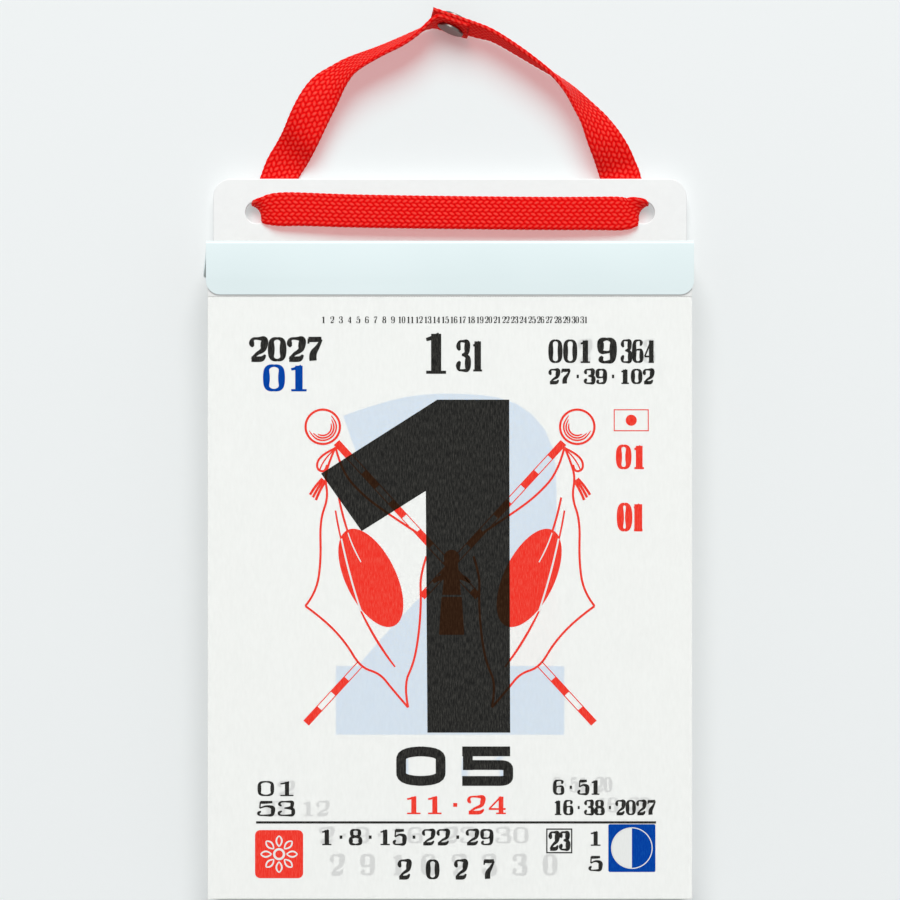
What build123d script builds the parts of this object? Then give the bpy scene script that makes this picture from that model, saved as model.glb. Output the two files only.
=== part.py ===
from build123d import *
import os
from math import cos, radians, sin, tan

# Tear-off day calendar, in millimetres. +Z is up, +Y points at the wall, and the
# printed side faces -Y. The origin is the hanging point: the underside of the
# strap's riveted lap, on the rivet's axis.

# Flat braided hanging strap
strap_width = 10.5
strap_thickness = 1.3
strap_board_gap = 0.35
loop_rise = 47.6
lap_tilt = 19.0
lap_roll = 104.0
lap_reach = 6.2
lap_layers = 2
lap_stagger = 0.2
neck_width = 5.2
neck_thickness = 2.0
neck_bend_thickness = 1.8
neck_collar = 0.6
neck_bend_radius = 1.3
neck_entry_offset = 0.9
neck_exit_offset = 0.2
neck_taper = 8.5
leg_lean = 31.5

# Rivet with two shallow pressed caps
rivet_cap_diameter = 8.5
rivet_cap_height = 1.0
rivet_cap_rim = 0.45
rivet_crown_diameter = 5.6
rivet_post_diameter = 3.0
rivet_hole_clearance = 0.1
rivet_socket_depth = 0.4
rivet_socket_clearance = 0.05

# Backing board
board_height = 222.0
board_thickness = 2.0
board_corner_radius = 5.6
hole_diameter = 7.0
hole_spacing = 121.0
hole_drop = 10.5

# Pad of daily sheets
sheet_width = 148.0
sheet_thickness = 0.05
month_names = ["january", "february", "march", "april", "may", "june", "july",
               "august", "september", "october", "november", "december"]
month_days = [31, 28, 31, 30, 31, 30, 31, 31, 30, 31, 30, 31]
single_days = 3
tear_drop = 0.6
tear_slit = 0.1

# Folded tin header
tin = 0.3
header_drop = 20.8
header_height = 16.5
header_bend_radius = 1.2
header_corner_radius = 4.2
header_front_gap = 0.6
header_end_gap = 0.25
rear_flange_height = 14.0
flap_height = 11.0
flap_bend_radius = 1.0
flap_corner_radius = 3.0
flap_setback = 1.4
left_flap_flare = 6.0
right_flap_flare = 1.0

# Two flat binding wires
wire_width = 1.0
wire_thickness = 0.5
wire_crown = 14.0
wire_clinch = 5.0
wire_pitch = 74.0
wire_drop = 8.0
wire_corner_radius = 0.4
wire_slot_clearance = 0.05
cut_overrun = 1.0

# Planes that the pieces share
wall_y = strap_width / 2
board_back_y = wall_y - strap_thickness - strap_board_gap
board_front_y = board_back_y - board_thickness
board_width = sheet_width
pad_back_y = board_front_y - tin
pad_front_y = pad_back_y - sum(month_days) * sheet_thickness
plate_inner_y = pad_front_y - header_front_gap
plate_outer_y = plate_inner_y - tin
board_top_z = -loop_rise
board_bottom_z = board_top_z - board_height
hole_z = board_top_z - hole_drop
header_top_z = board_top_z - header_drop
header_bottom_z = header_top_z - header_height
pad_top_z = header_top_z - header_bend_radius
pad_bottom_z = board_bottom_z
tear_z = header_bottom_z - tear_drop
header_width = sheet_width + 2 * (header_end_gap + tin)
header_join_y = plate_outer_y + header_bend_radius + tin
wire_z = header_top_z - wire_drop
wire_legs_x = [side * wire_pitch / 2 + end * (wire_crown - wire_thickness) / 2
               for side in (-1, 1) for end in (-1, 1)]

# Directions of the riveted lap: along it to the right, and up through it
lap_along = Vector(cos(radians(lap_tilt)), 0, -sin(radians(lap_tilt)))
lap_up = (Vector(sin(radians(lap_tilt)), 0, cos(radians(lap_tilt))) * sin(radians(lap_roll))
          + Vector(0, -cos(radians(lap_roll)), 0))
lap_plane = Plane(origin=(0, 0, 0), x_dir=lap_along, z_dir=lap_up)


def lap_point(along, layer):
    return lap_along * along + lap_up * ((layer + 0.5) * strap_thickness)


def above_board(x, y, rise):
    return Vector(x, y, board_top_z + rise)


# Each leg's route from the board's top edge to its cut end, with the roll of the
# strap's face at each point: 0 faces the viewer and 90 faces up.
leg_top_x = hole_spacing / 2 - neck_exit_offset - hole_drop * tan(radians(leg_lean))
leg_y = wall_y - strap_thickness / 2
left_route = [
    (above_board(-leg_top_x, leg_y, 0), 0),
    (above_board(-49.4, 4.5, 8.8), 0),
    (above_board(-44.4, 2.6, 18.4), 4),
    (above_board(-39.4, 2.1, 27.2), 18),
    (above_board(-35.2, 0.9, 31.9), 44),
    (above_board(-31.2, 0.3, 35.4), 57),
    (above_board(-21.8, 0.0, 39.7), 69),
    (above_board(-15.2, 0.0, 42.6), 72),
    (above_board(-10.2, 0.0, 45.6), 80),
    (above_board(-6.9, 0.1, 48.5), 94),
    (lap_point(-5.4, 0), lap_roll),
    (lap_point(-3.2, 0), lap_roll),
    (lap_point(lap_reach, 0), lap_roll),
]
right_route = [
    (above_board(leg_top_x, leg_y, 0), 0),
    (above_board(52.0, leg_y, 3.8), 0),
    (above_board(49.8, 4.0, 9.4), 14),
    (above_board(47.4, 2.2, 13.9), 30),
    (above_board(44.0, 0.8, 19.5), 49),
    (above_board(39.6, 0.2, 25.2), 63),
    (above_board(34.6, 0.0, 30.4), 76),
    (above_board(27.3, 0.0, 35.8), 89),
    (above_board(21.3, 0.0, 39.8), 94),
    (above_board(13.2, 0.0, 44.8), 97),
    (lap_point(8.2, 1), lap_roll),
    (lap_point(5.0, 1), lap_roll),
    (lap_point(-lap_reach + lap_stagger, 1), lap_roll),
]


def spline_spans(values):
    spans = []
    for i in range(len(values) - 2):
        start = values[0] if i == 0 else (values[i] + values[i + 1]) * 0.5
        last = i == len(values) - 3
        end = values[-1] if last else (values[i + 1] + values[i + 2]) * 0.5
        spans.append((start, values[i + 1], end))
    return spans


def on_span(span, t):
    a, b, c = span
    return a * (1 - t) ** 2 + b * (2 * t * (1 - t)) + c * t ** 2


def span_direction(span, t):
    a, b, c = span
    return ((b - a) * (1 - t) + (c - b) * t).normalized()


def strap_section(centre, along, face, width=strap_width, thickness=strap_thickness):
    along = along.normalized()
    face = face - along * face.dot(along)
    return Plane(origin=centre, x_dir=along.cross(face), z_dir=along) * Rectangle(width, thickness)


def strap_leg(route, side):
    points = spline_spans([point for point, roll in route])
    rolls = spline_spans([roll for point, roll in route])
    lean_cut = strap_width / cos(radians(leg_lean))
    foot = Plane(origin=route[0][0], x_dir=(-side, 0, 0), z_dir=(0, 0, 1))
    sections = [foot * Rectangle(lean_cut, strap_thickness)]
    steps = [(i, t) for i in range(len(points)) for t in (0.5, 1)]
    for i, t in steps:
        along = span_direction(points[i], t)
        roll = radians(on_span(rolls[i], t))
        outward = Vector(side * along.Z, 0, -side * along.X).normalized()
        face = Vector(0, -cos(roll), 0) + outward * sin(roll)
        sections.append(strap_section(on_span(points[i], t), along, face))
    leg = loft(sections, ruled=True)
    hole_radius = rivet_post_diameter / 2 + rivet_hole_clearance
    hole_length = 2 * (lap_layers * strap_thickness + cut_overrun)
    return leg - lap_plane * Cylinder(hole_radius, hole_length)


def print_leg_measures(name, route, leg):
    spans = spline_spans([point for point, roll in route])
    length = sum(Bezier(*span).length for span in spans)
    radii = []
    for a, b, c in spans:
        for along, turn in ((b - a, c - b), (c - b, b - a)):
            cross = along.cross(turn).length
            if cross > 1e-6:
                radii.append(2 * along.length ** 3 / cross)
    share = leg.volume / (strap_width * strap_thickness * length)
    print(f"{name}: {length:.1f} mm long, least radius {min(radii):.1f} mm, "
          f"volume {share:.3f} of section times length")


def quarter_bend(start, into, out):
    """Middle and end of a neck bend that starts along one direction and leaves along another."""
    half = radians(45)
    middle = start + into * neck_bend_radius * sin(half) + out * neck_bend_radius * (1 - cos(half))
    return middle, start + (into + out) * neck_bend_radius


def strap_end(side):
    """Sections from the front span, through one hole and up behind the board."""
    outward = Vector(side, 0, 0)
    back = Vector(0, 1, 0)
    climb = Vector(0, 0, 1) * cos(radians(leg_lean)) - outward * sin(radians(leg_lean))
    twist = (outward - climb).normalized()
    front_y = board_front_y - strap_board_gap / 2 - strap_thickness / 2
    front_line = Vector(side * hole_spacing / 2, front_y, hole_z)
    collar = neck_width + neck_collar
    half_width = (strap_width + neck_width) / 2

    bend_start = front_line - outward * (neck_entry_offset + neck_bend_radius)
    bend_middle, entry = quarter_bend(bend_start, outward, back)
    leaving = Vector(side * (hole_spacing / 2 - neck_exit_offset), leg_y - neck_bend_radius, hole_z)
    rear_middle, rear_end = quarter_bend(leaving, back, climb)
    foot = Vector(side * leg_top_x, leg_y, board_top_z)
    foot_plane = Plane(origin=foot, x_dir=climb.cross(back), z_dir=(0, 0, 1))
    return [
        strap_section(bend_start - outward * neck_taper, outward, -back),
        strap_section(bend_start - outward * neck_taper / 2, outward, -back, half_width),
        strap_section(bend_start, outward, -back, collar),
        strap_section(bend_middle, outward + back, outward - back, neck_width, neck_bend_thickness),
        strap_section(entry, back, outward, neck_width, neck_thickness),
        strap_section((entry + leaving) * 0.5, back, twist, neck_width, neck_thickness),
        strap_section(leaving, back, -climb, neck_width, neck_thickness),
        strap_section(rear_middle, back + climb, back - climb, neck_width, neck_bend_thickness),
        strap_section(rear_end, climb, back, collar),
        strap_section((rear_end + foot) * 0.5, climb, back, half_width),
        foot_plane * Rectangle(strap_width / cos(radians(leg_lean)), strap_thickness),
    ]


def front_strap():
    left = strap_end(-1)
    right = strap_end(1)
    span = loft([left[0], right[0]], ruled=True)
    return span + loft(left, ruled=True) + loft(right, ruled=True)


def rivet_cap():
    radius = rivet_cap_diameter / 2
    profile = Polyline((0, 0), (radius, 0), (radius, rivet_cap_rim),
                       (rivet_crown_diameter / 2, rivet_cap_height), (0, rivet_cap_height), close=True)
    return revolve(Plane.XZ * make_face(profile), Axis.Z)


def rivet_head():
    post_length = lap_layers * strap_thickness + rivet_socket_depth
    post = Pos(0, 0, post_length / 2) * Cylinder(rivet_post_diameter / 2, post_length)
    return lap_plane * (Rot(180, 0, 0) * rivet_cap() + post)


def rivet_top_cap():
    socket_radius = rivet_post_diameter / 2 + rivet_socket_clearance
    socket = Cylinder(socket_radius, 2 * (rivet_socket_depth + rivet_socket_clearance))
    return lap_plane * (Pos(0, 0, lap_layers * strap_thickness) * (rivet_cap() - socket))


def wire_slots(y_low, y_high):
    slot_width = wire_thickness + 2 * wire_slot_clearance
    slot_height = wire_width + 2 * wire_slot_clearance
    slot = Box(slot_width, y_high - y_low + 2 * cut_overrun, slot_height)
    return [Pos(x, (y_low + y_high) / 2, wire_z) * slot for x in wire_legs_x]


def backing_board():
    outline = Rectangle(board_width, board_height)
    outline = fillet(outline.vertices().group_by(Axis.Y)[-1], board_corner_radius)
    for side in (-1, 1):
        outline -= Pos(side * hole_spacing / 2, board_height / 2 - hole_drop) * Circle(hole_diameter / 2)
    middle = Plane(origin=(0, board_back_y, board_top_z - board_height / 2),
                   x_dir=(1, 0, 0), z_dir=(0, -1, 0))
    board = extrude(middle * outline, board_thickness)
    return board - wire_slots(board_front_y, board_back_y)


def sheet_stack(y_front, y_back, z_low, z_high, bound=True):
    stack = Box(sheet_width, y_back - y_front, z_high - z_low)
    stack = Pos(0, (y_front + y_back) / 2, (z_low + z_high) / 2) * stack
    return stack - wire_slots(y_front, y_back) if bound else stack


def folded_tin(path, width):
    return extrude(Plane.YZ * trace(path, line_width=tin), width / 2, both=True)


def header_front():
    mid_y = plate_inner_y - tin / 2
    mid_z = header_top_z - tin / 2
    path = FilletPolyline((header_join_y, mid_z), (mid_y, mid_z), (mid_y, header_bottom_z),
                          radius=header_bend_radius - tin / 2)
    plate = folded_tin(path, header_width)
    outline = Rectangle(header_width, header_height)
    outline = fillet(outline.vertices().group_by(Axis.Y)[0], header_corner_radius)
    face = Plane(origin=(0, header_join_y, header_top_z - header_height / 2),
                 x_dir=(1, 0, 0), z_dir=(0, -1, 0))
    return plate & extrude(face * outline, header_join_y - plate_outer_y)


def header_top_and_rear():
    mid_z = header_top_z - tin / 2
    rear_y = pad_back_y + tin / 2
    path = FilletPolyline((header_join_y, mid_z), (rear_y, mid_z),
                          (rear_y, header_top_z - rear_flange_height),
                          radius=header_bend_radius - tin / 2)
    channel = folded_tin(path, header_width - 2 * flap_bend_radius)
    return channel - wire_slots(pad_back_y, board_front_y)


def header_flap(side, flare):
    mid_z = header_top_z - tin / 2
    root_x = header_width / 2 - flap_bend_radius
    corner_x = header_width / 2 - tin / 2
    drop = flap_height - tin / 2
    tip = (corner_x + drop * tan(radians(flare)), mid_z - drop)
    path = FilletPolyline((root_x, mid_z), (corner_x, mid_z), tip, radius=flap_bend_radius - tin)
    low_y = plate_inner_y + flap_setback
    high_y = pad_back_y - flap_setback
    depth = high_y - low_y
    centre_y = (low_y + high_y) / 2
    strip = extrude(Plane.XZ * trace(path, line_width=tin), depth / 2, both=True)
    strip = Pos(0, centre_y, 0) * strip
    outline = Rectangle(depth, flap_height)
    outline = fillet(outline.vertices().group_by(Axis.Y)[0], flap_corner_radius)
    cutter = extrude(Plane.YZ * Pos(centre_y, header_top_z - flap_height / 2) * outline, header_width)
    flap = strip & cutter
    return flap if side > 0 else mirror(flap, Plane.YZ)


def tin_header():
    flaps = header_flap(-1, left_flap_flare) + header_flap(1, right_flap_flare)
    return header_front() + header_top_and_rear() + flaps


def binding_wire(centre_x):
    front_y = pad_front_y - wire_thickness / 2
    rear_y = board_back_y + wire_thickness / 2
    leg_x = (wire_crown - wire_thickness) / 2
    span = rear_y - front_y + wire_thickness
    wire = Pos(0, front_y) * Rectangle(wire_crown, wire_thickness)
    for side in (-1, 1):
        wire += Pos(side * leg_x, (front_y + rear_y) / 2) * Rectangle(wire_thickness, span)
        clinch_x = side * (wire_crown - wire_clinch) / 2
        wire += Pos(clinch_x, rear_y) * Rectangle(wire_clinch, wire_thickness)
    outer = wire.vertices().group_by(Axis.X)
    wire = fillet(outer[0] + outer[-1], wire_corner_radius)
    return Pos(centre_x, 0, wire_z) * extrude(wire, wire_width / 2, both=True)


nodes = {
    "strap_left_leg": strap_leg(left_route, -1),
    "strap_right_leg": strap_leg(right_route, 1),
    "strap_front": front_strap(),
    "rivet_head": rivet_head(),
    "rivet_top_cap": rivet_top_cap(),
    "backing_board": backing_board(),
    "tin_header": tin_header(),
    "binding_wire_left": binding_wire(-wire_pitch / 2),
    "binding_wire_right": binding_wire(wire_pitch / 2),
}

# Single sheets of the first days, each torn from its own bound stub
for day in range(single_days):
    front = pad_front_y + day * sheet_thickness
    back = front + sheet_thickness
    nodes[f"sheet_day_{day + 1}"] = sheet_stack(front, back, pad_bottom_z, tear_z, bound=False)
    nodes[f"stub_day_{day + 1}"] = sheet_stack(front, back, tear_z + tear_slit, pad_top_z)

# The rest of the year, one stack of sheets for each month
front = pad_front_y + single_days * sheet_thickness
for month, days in zip(month_names, month_days):
    count = days - single_days if month == month_names[0] else days
    back = front + count * sheet_thickness
    nodes[f"sheets_{month}"] = sheet_stack(front, back, pad_bottom_z, pad_top_z)
    front = back

print_leg_measures("strap_left_leg", left_route, nodes["strap_left_leg"])
print_leg_measures("strap_right_leg", right_route, nodes["strap_right_leg"])

os.makedirs("parts", exist_ok=True)
for name, shape in nodes.items():
    export_step(shape, f"parts/{name}.step")
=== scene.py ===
import math
import random
import bmesh
import bpy
from bmesh.types import BMEdge, BMVert
from mathutils import Matrix, Vector


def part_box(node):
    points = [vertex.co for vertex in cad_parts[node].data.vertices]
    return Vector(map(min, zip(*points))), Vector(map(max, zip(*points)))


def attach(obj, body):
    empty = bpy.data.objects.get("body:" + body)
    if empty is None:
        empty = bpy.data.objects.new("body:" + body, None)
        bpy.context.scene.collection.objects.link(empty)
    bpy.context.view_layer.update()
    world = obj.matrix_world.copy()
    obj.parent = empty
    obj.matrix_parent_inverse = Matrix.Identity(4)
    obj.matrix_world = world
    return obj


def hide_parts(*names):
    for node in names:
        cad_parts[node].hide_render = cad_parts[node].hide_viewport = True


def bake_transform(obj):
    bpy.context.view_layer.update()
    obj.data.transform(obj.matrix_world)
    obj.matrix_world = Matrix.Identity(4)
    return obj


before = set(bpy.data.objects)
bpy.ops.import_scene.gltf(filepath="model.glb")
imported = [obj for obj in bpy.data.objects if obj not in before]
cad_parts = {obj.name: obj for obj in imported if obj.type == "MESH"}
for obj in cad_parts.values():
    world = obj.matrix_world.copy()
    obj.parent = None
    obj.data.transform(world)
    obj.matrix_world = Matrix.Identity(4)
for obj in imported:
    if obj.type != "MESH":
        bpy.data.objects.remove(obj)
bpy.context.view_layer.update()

mm = 0.001
scene = bpy.context.scene
print("frame loaded with", len(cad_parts), "nodes")


# small helpers

def colour(red, green, blue):  # screen values to linear ones
    tones = [value / 255 for value in (red, green, blue)]
    return [t / 12.92 if t < 0.04 else ((t + 0.055) / 1.055) ** 2.4 for t in tones] + [1]


def makePiece(name, bm, material, body=None, smooth=False):
    mesh = bpy.data.meshes.new(name)
    bm.to_mesh(mesh)
    bm.free()
    mesh.materials.append(material)
    mesh.polygons.foreach_set("use_smooth", [smooth] * len(mesh.polygons))
    piece = bpy.data.objects.new(name, mesh)
    scene.collection.objects.link(piece)
    if body:
        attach(piece, body)
    return piece


def readSplines(sets, steps):  # points on the smooth line that each set of controls pulls
    data = bpy.data.curves.new("route", "CURVE")
    data.dimensions = "3D"
    for controls in sets:
        spline = data.splines.new("NURBS")
        spline.points.add(len(controls) - 1)
        for place, control in zip(spline.points, controls):
            place.co = (*control, 1)
        spline.order_u = 3
        spline.use_endpoint_u = True
        spline.resolution_u = steps
    holder = bpy.data.objects.new("route", data)
    mesh = bpy.data.meshes.new_from_object(holder)
    joined = {max(edge.vertices) for edge in mesh.edges}
    lines = []
    for vertex in mesh.vertices:
        if vertex.index not in joined:
            lines.append([])
        lines[-1].append(vertex.co.copy())
    bpy.data.objects.remove(holder)
    bpy.data.curves.remove(data)
    bpy.data.meshes.remove(mesh)
    return lines


def pick(items, kind):
    return [item for item in items if isinstance(item, kind)]


def roundVerts(bm, verts, radius, segments):
    bmesh.ops.bevel(bm, geom=verts, offset=radius, offset_type="OFFSET", affect="VERTICES",
                    segments=segments, profile=0.5, material=-1)


def dress(node, material):  # a solid kept as it is, in another material
    node.data.materials.clear()
    node.data.materials.append(material)


# materials

def startMaterial(name, base, **settings):
    material = bpy.data.materials.new(name)
    material.use_nodes = True
    shader = material.node_tree.nodes["Principled BSDF"]
    shader.inputs["Base Color"].default_value = base
    for socket, value in settings.items():
        shader.inputs[socket.replace("_", " ")].default_value = value
    return material, material.node_tree, shader


def addNode(tree, kind, inputs=None, **settings):
    node = tree.nodes.new(kind)
    for name, value in settings.items():
        setattr(node, name, value)
    for name, value in (inputs or {}).items():
        node.inputs[name].default_value = value
    return node


# noise at a scale for each axis
def addGrain(tree, scale, detail=3.0, coordinate="Object", rough=0.55):
    place = addNode(tree, "ShaderNodeTexCoord")
    mapping = addNode(tree, "ShaderNodeMapping", {"Scale": scale})
    noise = addNode(tree, "ShaderNodeTexNoise", {"Scale": 1.0, "Detail": detail, "Roughness": rough})
    tree.links.new(place.outputs[coordinate], mapping.inputs["Vector"])
    tree.links.new(mapping.outputs["Vector"], noise.inputs["Vector"])
    return noise.outputs["Fac"]


def addRamp(tree, value, stops):
    ramp = addNode(tree, "ShaderNodeValToRGB")
    elements = ramp.color_ramp.elements
    while len(elements) < len(stops):
        elements.new(0.5)
    for element, (place, tone) in zip(elements, stops):
        element.position = place
        element.color = tone
    tree.links.new(value, ramp.inputs["Fac"])
    return ramp.outputs["Color"]


def addBump(tree, shader, height, strength, distance):
    bump = addNode(tree, "ShaderNodeBump", {"Strength": strength, "Distance": distance})
    tree.links.new(height, bump.inputs["Height"])
    tree.links.new(bump.outputs["Normal"], shader.inputs["Normal"])


def addShade(tree, tone, shade, share):  # a tone darkened by part of another
    mix = addNode(tree, "ShaderNodeMix", {"Factor": share}, data_type="RGBA", blend_type="MULTIPLY")
    tree.links.new(tone, mix.inputs["A"])
    tree.links.new(shade, mix.inputs["B"])
    return mix.outputs["Result"]


def addLarger(tree, first, second):
    larger = addNode(tree, "ShaderNodeMath", operation="MAXIMUM")
    tree.links.new(first, larger.inputs[0])
    tree.links.new(second, larger.inputs[1])
    return larger.outputs["Value"]


def mixSurface(tree, share, first, second, end="Material Output"):
    mix = addNode(tree, "ShaderNodeMixShader")
    tree.links.new(share, mix.inputs["Fac"])
    tree.links.new(first, mix.inputs[1])
    tree.links.new(second, mix.inputs[2])
    tree.links.new(mix.outputs["Shader"], tree.nodes[end].inputs["Surface"])


def braidedCord():
    material, tree, shader = startMaterial(
        "braidedCord", colour(238, 22, 18), Roughness=0.72, Specular_IOR_Level=0.09,
        Sheen_Weight=0.02, Sheen_Roughness=0.45, Sheen_Tint=colour(255, 150, 140),
        Subsurface_Weight=0.6, Subsurface_Radius=(1.0, 0.04, 0.03), Subsurface_Scale=0.005)
    stitchShadeAndHighlight = addNode(tree, "ShaderNodeAttribute", attribute_name="stitchShadeAndHighlight")
    # stitch height also sets the colour: a painted highlight on each stitch's top and painted shade in the gaps
    # between stitches
    tone = addRamp(tree, stitchShadeAndHighlight.outputs["Fac"], [(0.0, colour(214, 0, 2)), (0.5, colour(255, 5, 4)),
                                               (1.0, colour(255, 84, 72))])
    fibre = addGrain(tree, (1.6, 9.0, 1.0), 2.0, "UV")
    shade = addRamp(tree, fibre, [(0.3, colour(225, 140, 140)), (0.7, colour(255, 255, 255))])
    tree.links.new(addShade(tree, tone, shade, 0.15), shader.inputs["Base Color"])
    addBump(tree, shader, fibre, 0.5, 0.00008)
    ray = addNode(tree, "ShaderNodeLightPath")
    # lamplight passes the weave and tints the shadows
    through = addNode(tree, "ShaderNodeBsdfTransparent", {"Color": (0.78, 0.13, 0.125, 1)})
    mixSurface(tree, ray.outputs["Is Shadow Ray"], shader.outputs["BSDF"], through.outputs["BSDF"])
    return material


def satinEnamel():
    material, tree, shader = startMaterial("satinEnamel", colour(226, 240, 241), Roughness=0.32,
                                           Coat_Weight=0.15, Coat_Roughness=0.12)
    cloud = addGrain(tree, (18, 18, 18), 2.0)
    tone = addRamp(tree, cloud, [(0.3, colour(233, 247, 248)), (0.7, colour(239, 252, 253))])
    tree.links.new(tone, shader.inputs["Base Color"])
    peel = addGrain(tree, (900, 900, 900), 2.0)
    gloss = addRamp(tree, peel, [(0.3, (0.28, 0.28, 0.28, 1)), (0.7, (0.38, 0.38, 0.38, 1))])
    tree.links.new(gloss, shader.inputs["Roughness"])
    addBump(tree, shader, peel, 0.06, 0.0002)
    return material


def coatedCard():
    material, tree, shader = startMaterial("coatedCard", colour(239, 241, 240), Roughness=0.42)
    fibre = addGrain(tree, (420, 420, 420), 4.0)
    tone = addRamp(tree, fibre, [(0.3, colour(248, 249, 248)), (0.7, colour(251, 252, 251))])
    tree.links.new(tone, shader.inputs["Base Color"])
    addBump(tree, shader, fibre, 0.05, 0.0003)
    return material


def thinPaper(name, alpha):
    material, tree, shader = startMaterial(name, colour(238, 240, 237), Roughness=0.85, Alpha=alpha,
                                           Specular_IOR_Level=0.2)
    fibre = addGrain(tree, (1500, 1500, 420), 4.0)
    tone = addRamp(tree, fibre, [(0.3, colour(238, 239, 237)), (0.7, colour(242, 243, 241))])
    tree.links.new(tone, shader.inputs["Base Color"])
    addBump(tree, shader, fibre, 0.08, 0.0002)
    return material


def stackedPaper():
    material, tree, shader = startMaterial("stackedPaper", colour(241, 242, 238), Roughness=0.9,
                                           Specular_IOR_Level=0.2)
    tint = addNode(tree, "ShaderNodeAttribute", attribute_name="sheetTone")
    tone = addRamp(tree, tint.outputs["Fac"], [(0.0, colour(226, 227, 222)), (1.0, colour(246, 247, 244))])
    fibre = addGrain(tree, (900, 6000, 900), 3.0)
    shade = addRamp(tree, fibre, [(0.3, colour(205, 205, 200)), (0.7, colour(255, 255, 255))])
    tree.links.new(addShade(tree, tone, shade, 0.2), shader.inputs["Base Color"])
    addBump(tree, shader, fibre, 0.15, 0.0001)
    return material


def printInk(name, dark, light):  # ink on thin paper, streaked along the paper's fibres
    material, tree, shader = startMaterial(name, colour(*dark), Roughness=0.8, Specular_IOR_Level=0.05)
    streak = addGrain(tree, (3200, 1, 460), 4.0, rough=0.75)
    tone = addRamp(tree, streak, [(0.44, colour(*dark)), (0.72, colour(*light))])
    tree.links.new(tone, shader.inputs["Base Color"])
    return material


def platedSteel(name, tone, rough):
    material, tree, shader = startMaterial(name, tone, Metallic=1.0, Roughness=rough)
    grain = addGrain(tree, (2500, 2500, 2500), 3.0)
    gloss = addRamp(tree, grain, [(0.3, (rough * 0.8,) * 3 + (1,)), (0.7, (rough * 1.3,) * 3 + (1,))])
    tree.links.new(gloss, shader.inputs["Roughness"])
    addBump(tree, shader, grain, 0.1, 0.00005)
    return material


# hanging strap: one flat braided cord, in the same millimetres as the solids

strap = {
    "width": 10.5, "thickness": 1.3,
    "lapTilt": 19, "lapRoll": 104, "lapDrop": 0.5,
    "holeX": 60.5, "frontY": 0.775, "rearY": 4.6, "holeZ": -58.1, "crease": -0.65,
    "bow": 3.2,                             # front run stands off the board midway
    "leftRise": 0.75, "rightRise": -0.6,    # front run's height at its ends
    "stitch": 1.95, "relief": 0.2,          # braid's pitch along the cord, and its height
    "stitchRows": 18, "stitchSlant": 0.26,  # rows right round the cord, nine to a side
    "stitchNarrow": 1.75, "stitchTaper": 0.95, "stitchRound": 0.75, "stitchBase": 0.65,
    "rings": 1180, "flatColumns": 32, "edgeColumns": 8, "routeSteps": 40, "pathStep": 6,
    "fray": 0.8, "seed": 4,
}
boardLow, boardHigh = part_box("backing_board")
boardTop = boardHigh.z / mm
lapTilt = math.radians(strap["lapTilt"])
lapRoll = math.radians(strap["lapRoll"])
lapAlong = Vector((math.cos(lapTilt), 0, -math.sin(lapTilt)))
lapUp = Vector((math.sin(lapTilt), 0, math.cos(lapTilt))) * math.sin(lapRoll)
lapUp -= Vector((0, math.cos(lapRoll), 0))


def lapPoint(along, layer):
    place = lapAlong * along + lapUp * (layer + 0.5) * strap["thickness"]
    return place - Vector((0, 0, strap["lapDrop"]))


def aboveBoard(x, y, rise):
    return Vector((x, y, boardTop + rise))


leftLeg = [  # from the board's top edge to the lap: place, roll of the cord's face, width
    (aboveBoard(-53.9, 4.6, 0), 0, 11.2),
    (aboveBoard(-52.2, 5.2, 4.2), -8, 11.6),
    (aboveBoard(-49.4, 4.2, 8.2), 0, 11.8),
    (aboveBoard(-46.6, 0.2, 12.8), 8, 12.0),
    (aboveBoard(-44.2, -0.6, 18.2), 2, 12.2),
    (aboveBoard(-41.6, -0.5, 23.4), 6, 12.2),
    (aboveBoard(-38.6, -0.2, 28.4), 22, 12.0),
    (aboveBoard(-35.2, 0.0, 31.9), 44, 11.6),
    (aboveBoard(-31.2, 0.0, 35.4), 57, 11.0),
    (aboveBoard(-21.8, 0.0, 39.7), 69, 10.6),
    (aboveBoard(-15.2, 0.0, 42.6), 70, 10.5),
    (aboveBoard(-9.6, 0.0, 45.9), 79, 10.5),
    (aboveBoard(-6.0, 0.1, 48.3), 92, 10.5),
    (lapPoint(-4.06, 0), strap["lapRoll"], 10.5),
    (lapPoint(-1.14, 0), strap["lapRoll"], 10.5),
    (lapPoint(5.3, 0), strap["lapRoll"], 10.3),
]
rightLeg = [
    (aboveBoard(53.9, 4.6, 0), 0, 12.6),
    (aboveBoard(52.8, 4.6, 2.6), 2, 12.4),
    (aboveBoard(50.9, 1.8, 7.0), 8, 12.3),
    (aboveBoard(47.9, -0.8, 12.4), 24, 12.0),
    (aboveBoard(44.8, -0.6, 18.5), 46, 12.0),
    (aboveBoard(41.0, 0.4, 23.3), 58, 11.5),
    (aboveBoard(37.2, 0.1, 27.9), 70, 11.0),
    (aboveBoard(32.4, 0.0, 32.3), 82, 10.5),
    (aboveBoard(27.3, 0.0, 35.8), 89, 10.5),
    (aboveBoard(21.3, 0.0, 39.8), 94, 10.5),
    (aboveBoard(13.2, 0.0, 44.8), 97, 10.5),
    (lapPoint(8.2, 1), strap["lapRoll"], 10.5),
    (lapPoint(5.0, 1), strap["lapRoll"], 10.5),
    (lapPoint(-6.0, 1), strap["lapRoll"], 10.5),
]


def legStations(leg, side):  # route point, face, and width, thickness and cup of each control
    stations = []
    for i, (place, roll, width) in enumerate(leg):
        along = leg[min(i + 1, len(leg) - 1)][0] - leg[max(i - 1, 0)][0]
        outward = Vector((side * along.z, 0, -side * along.x)).normalized()
        face = Vector((0, math.cos(math.radians(roll)), 0)) - outward * math.sin(math.radians(roll))
        stations.append((place, face, (width, strap["thickness"], 0)))
    return stations


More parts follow.
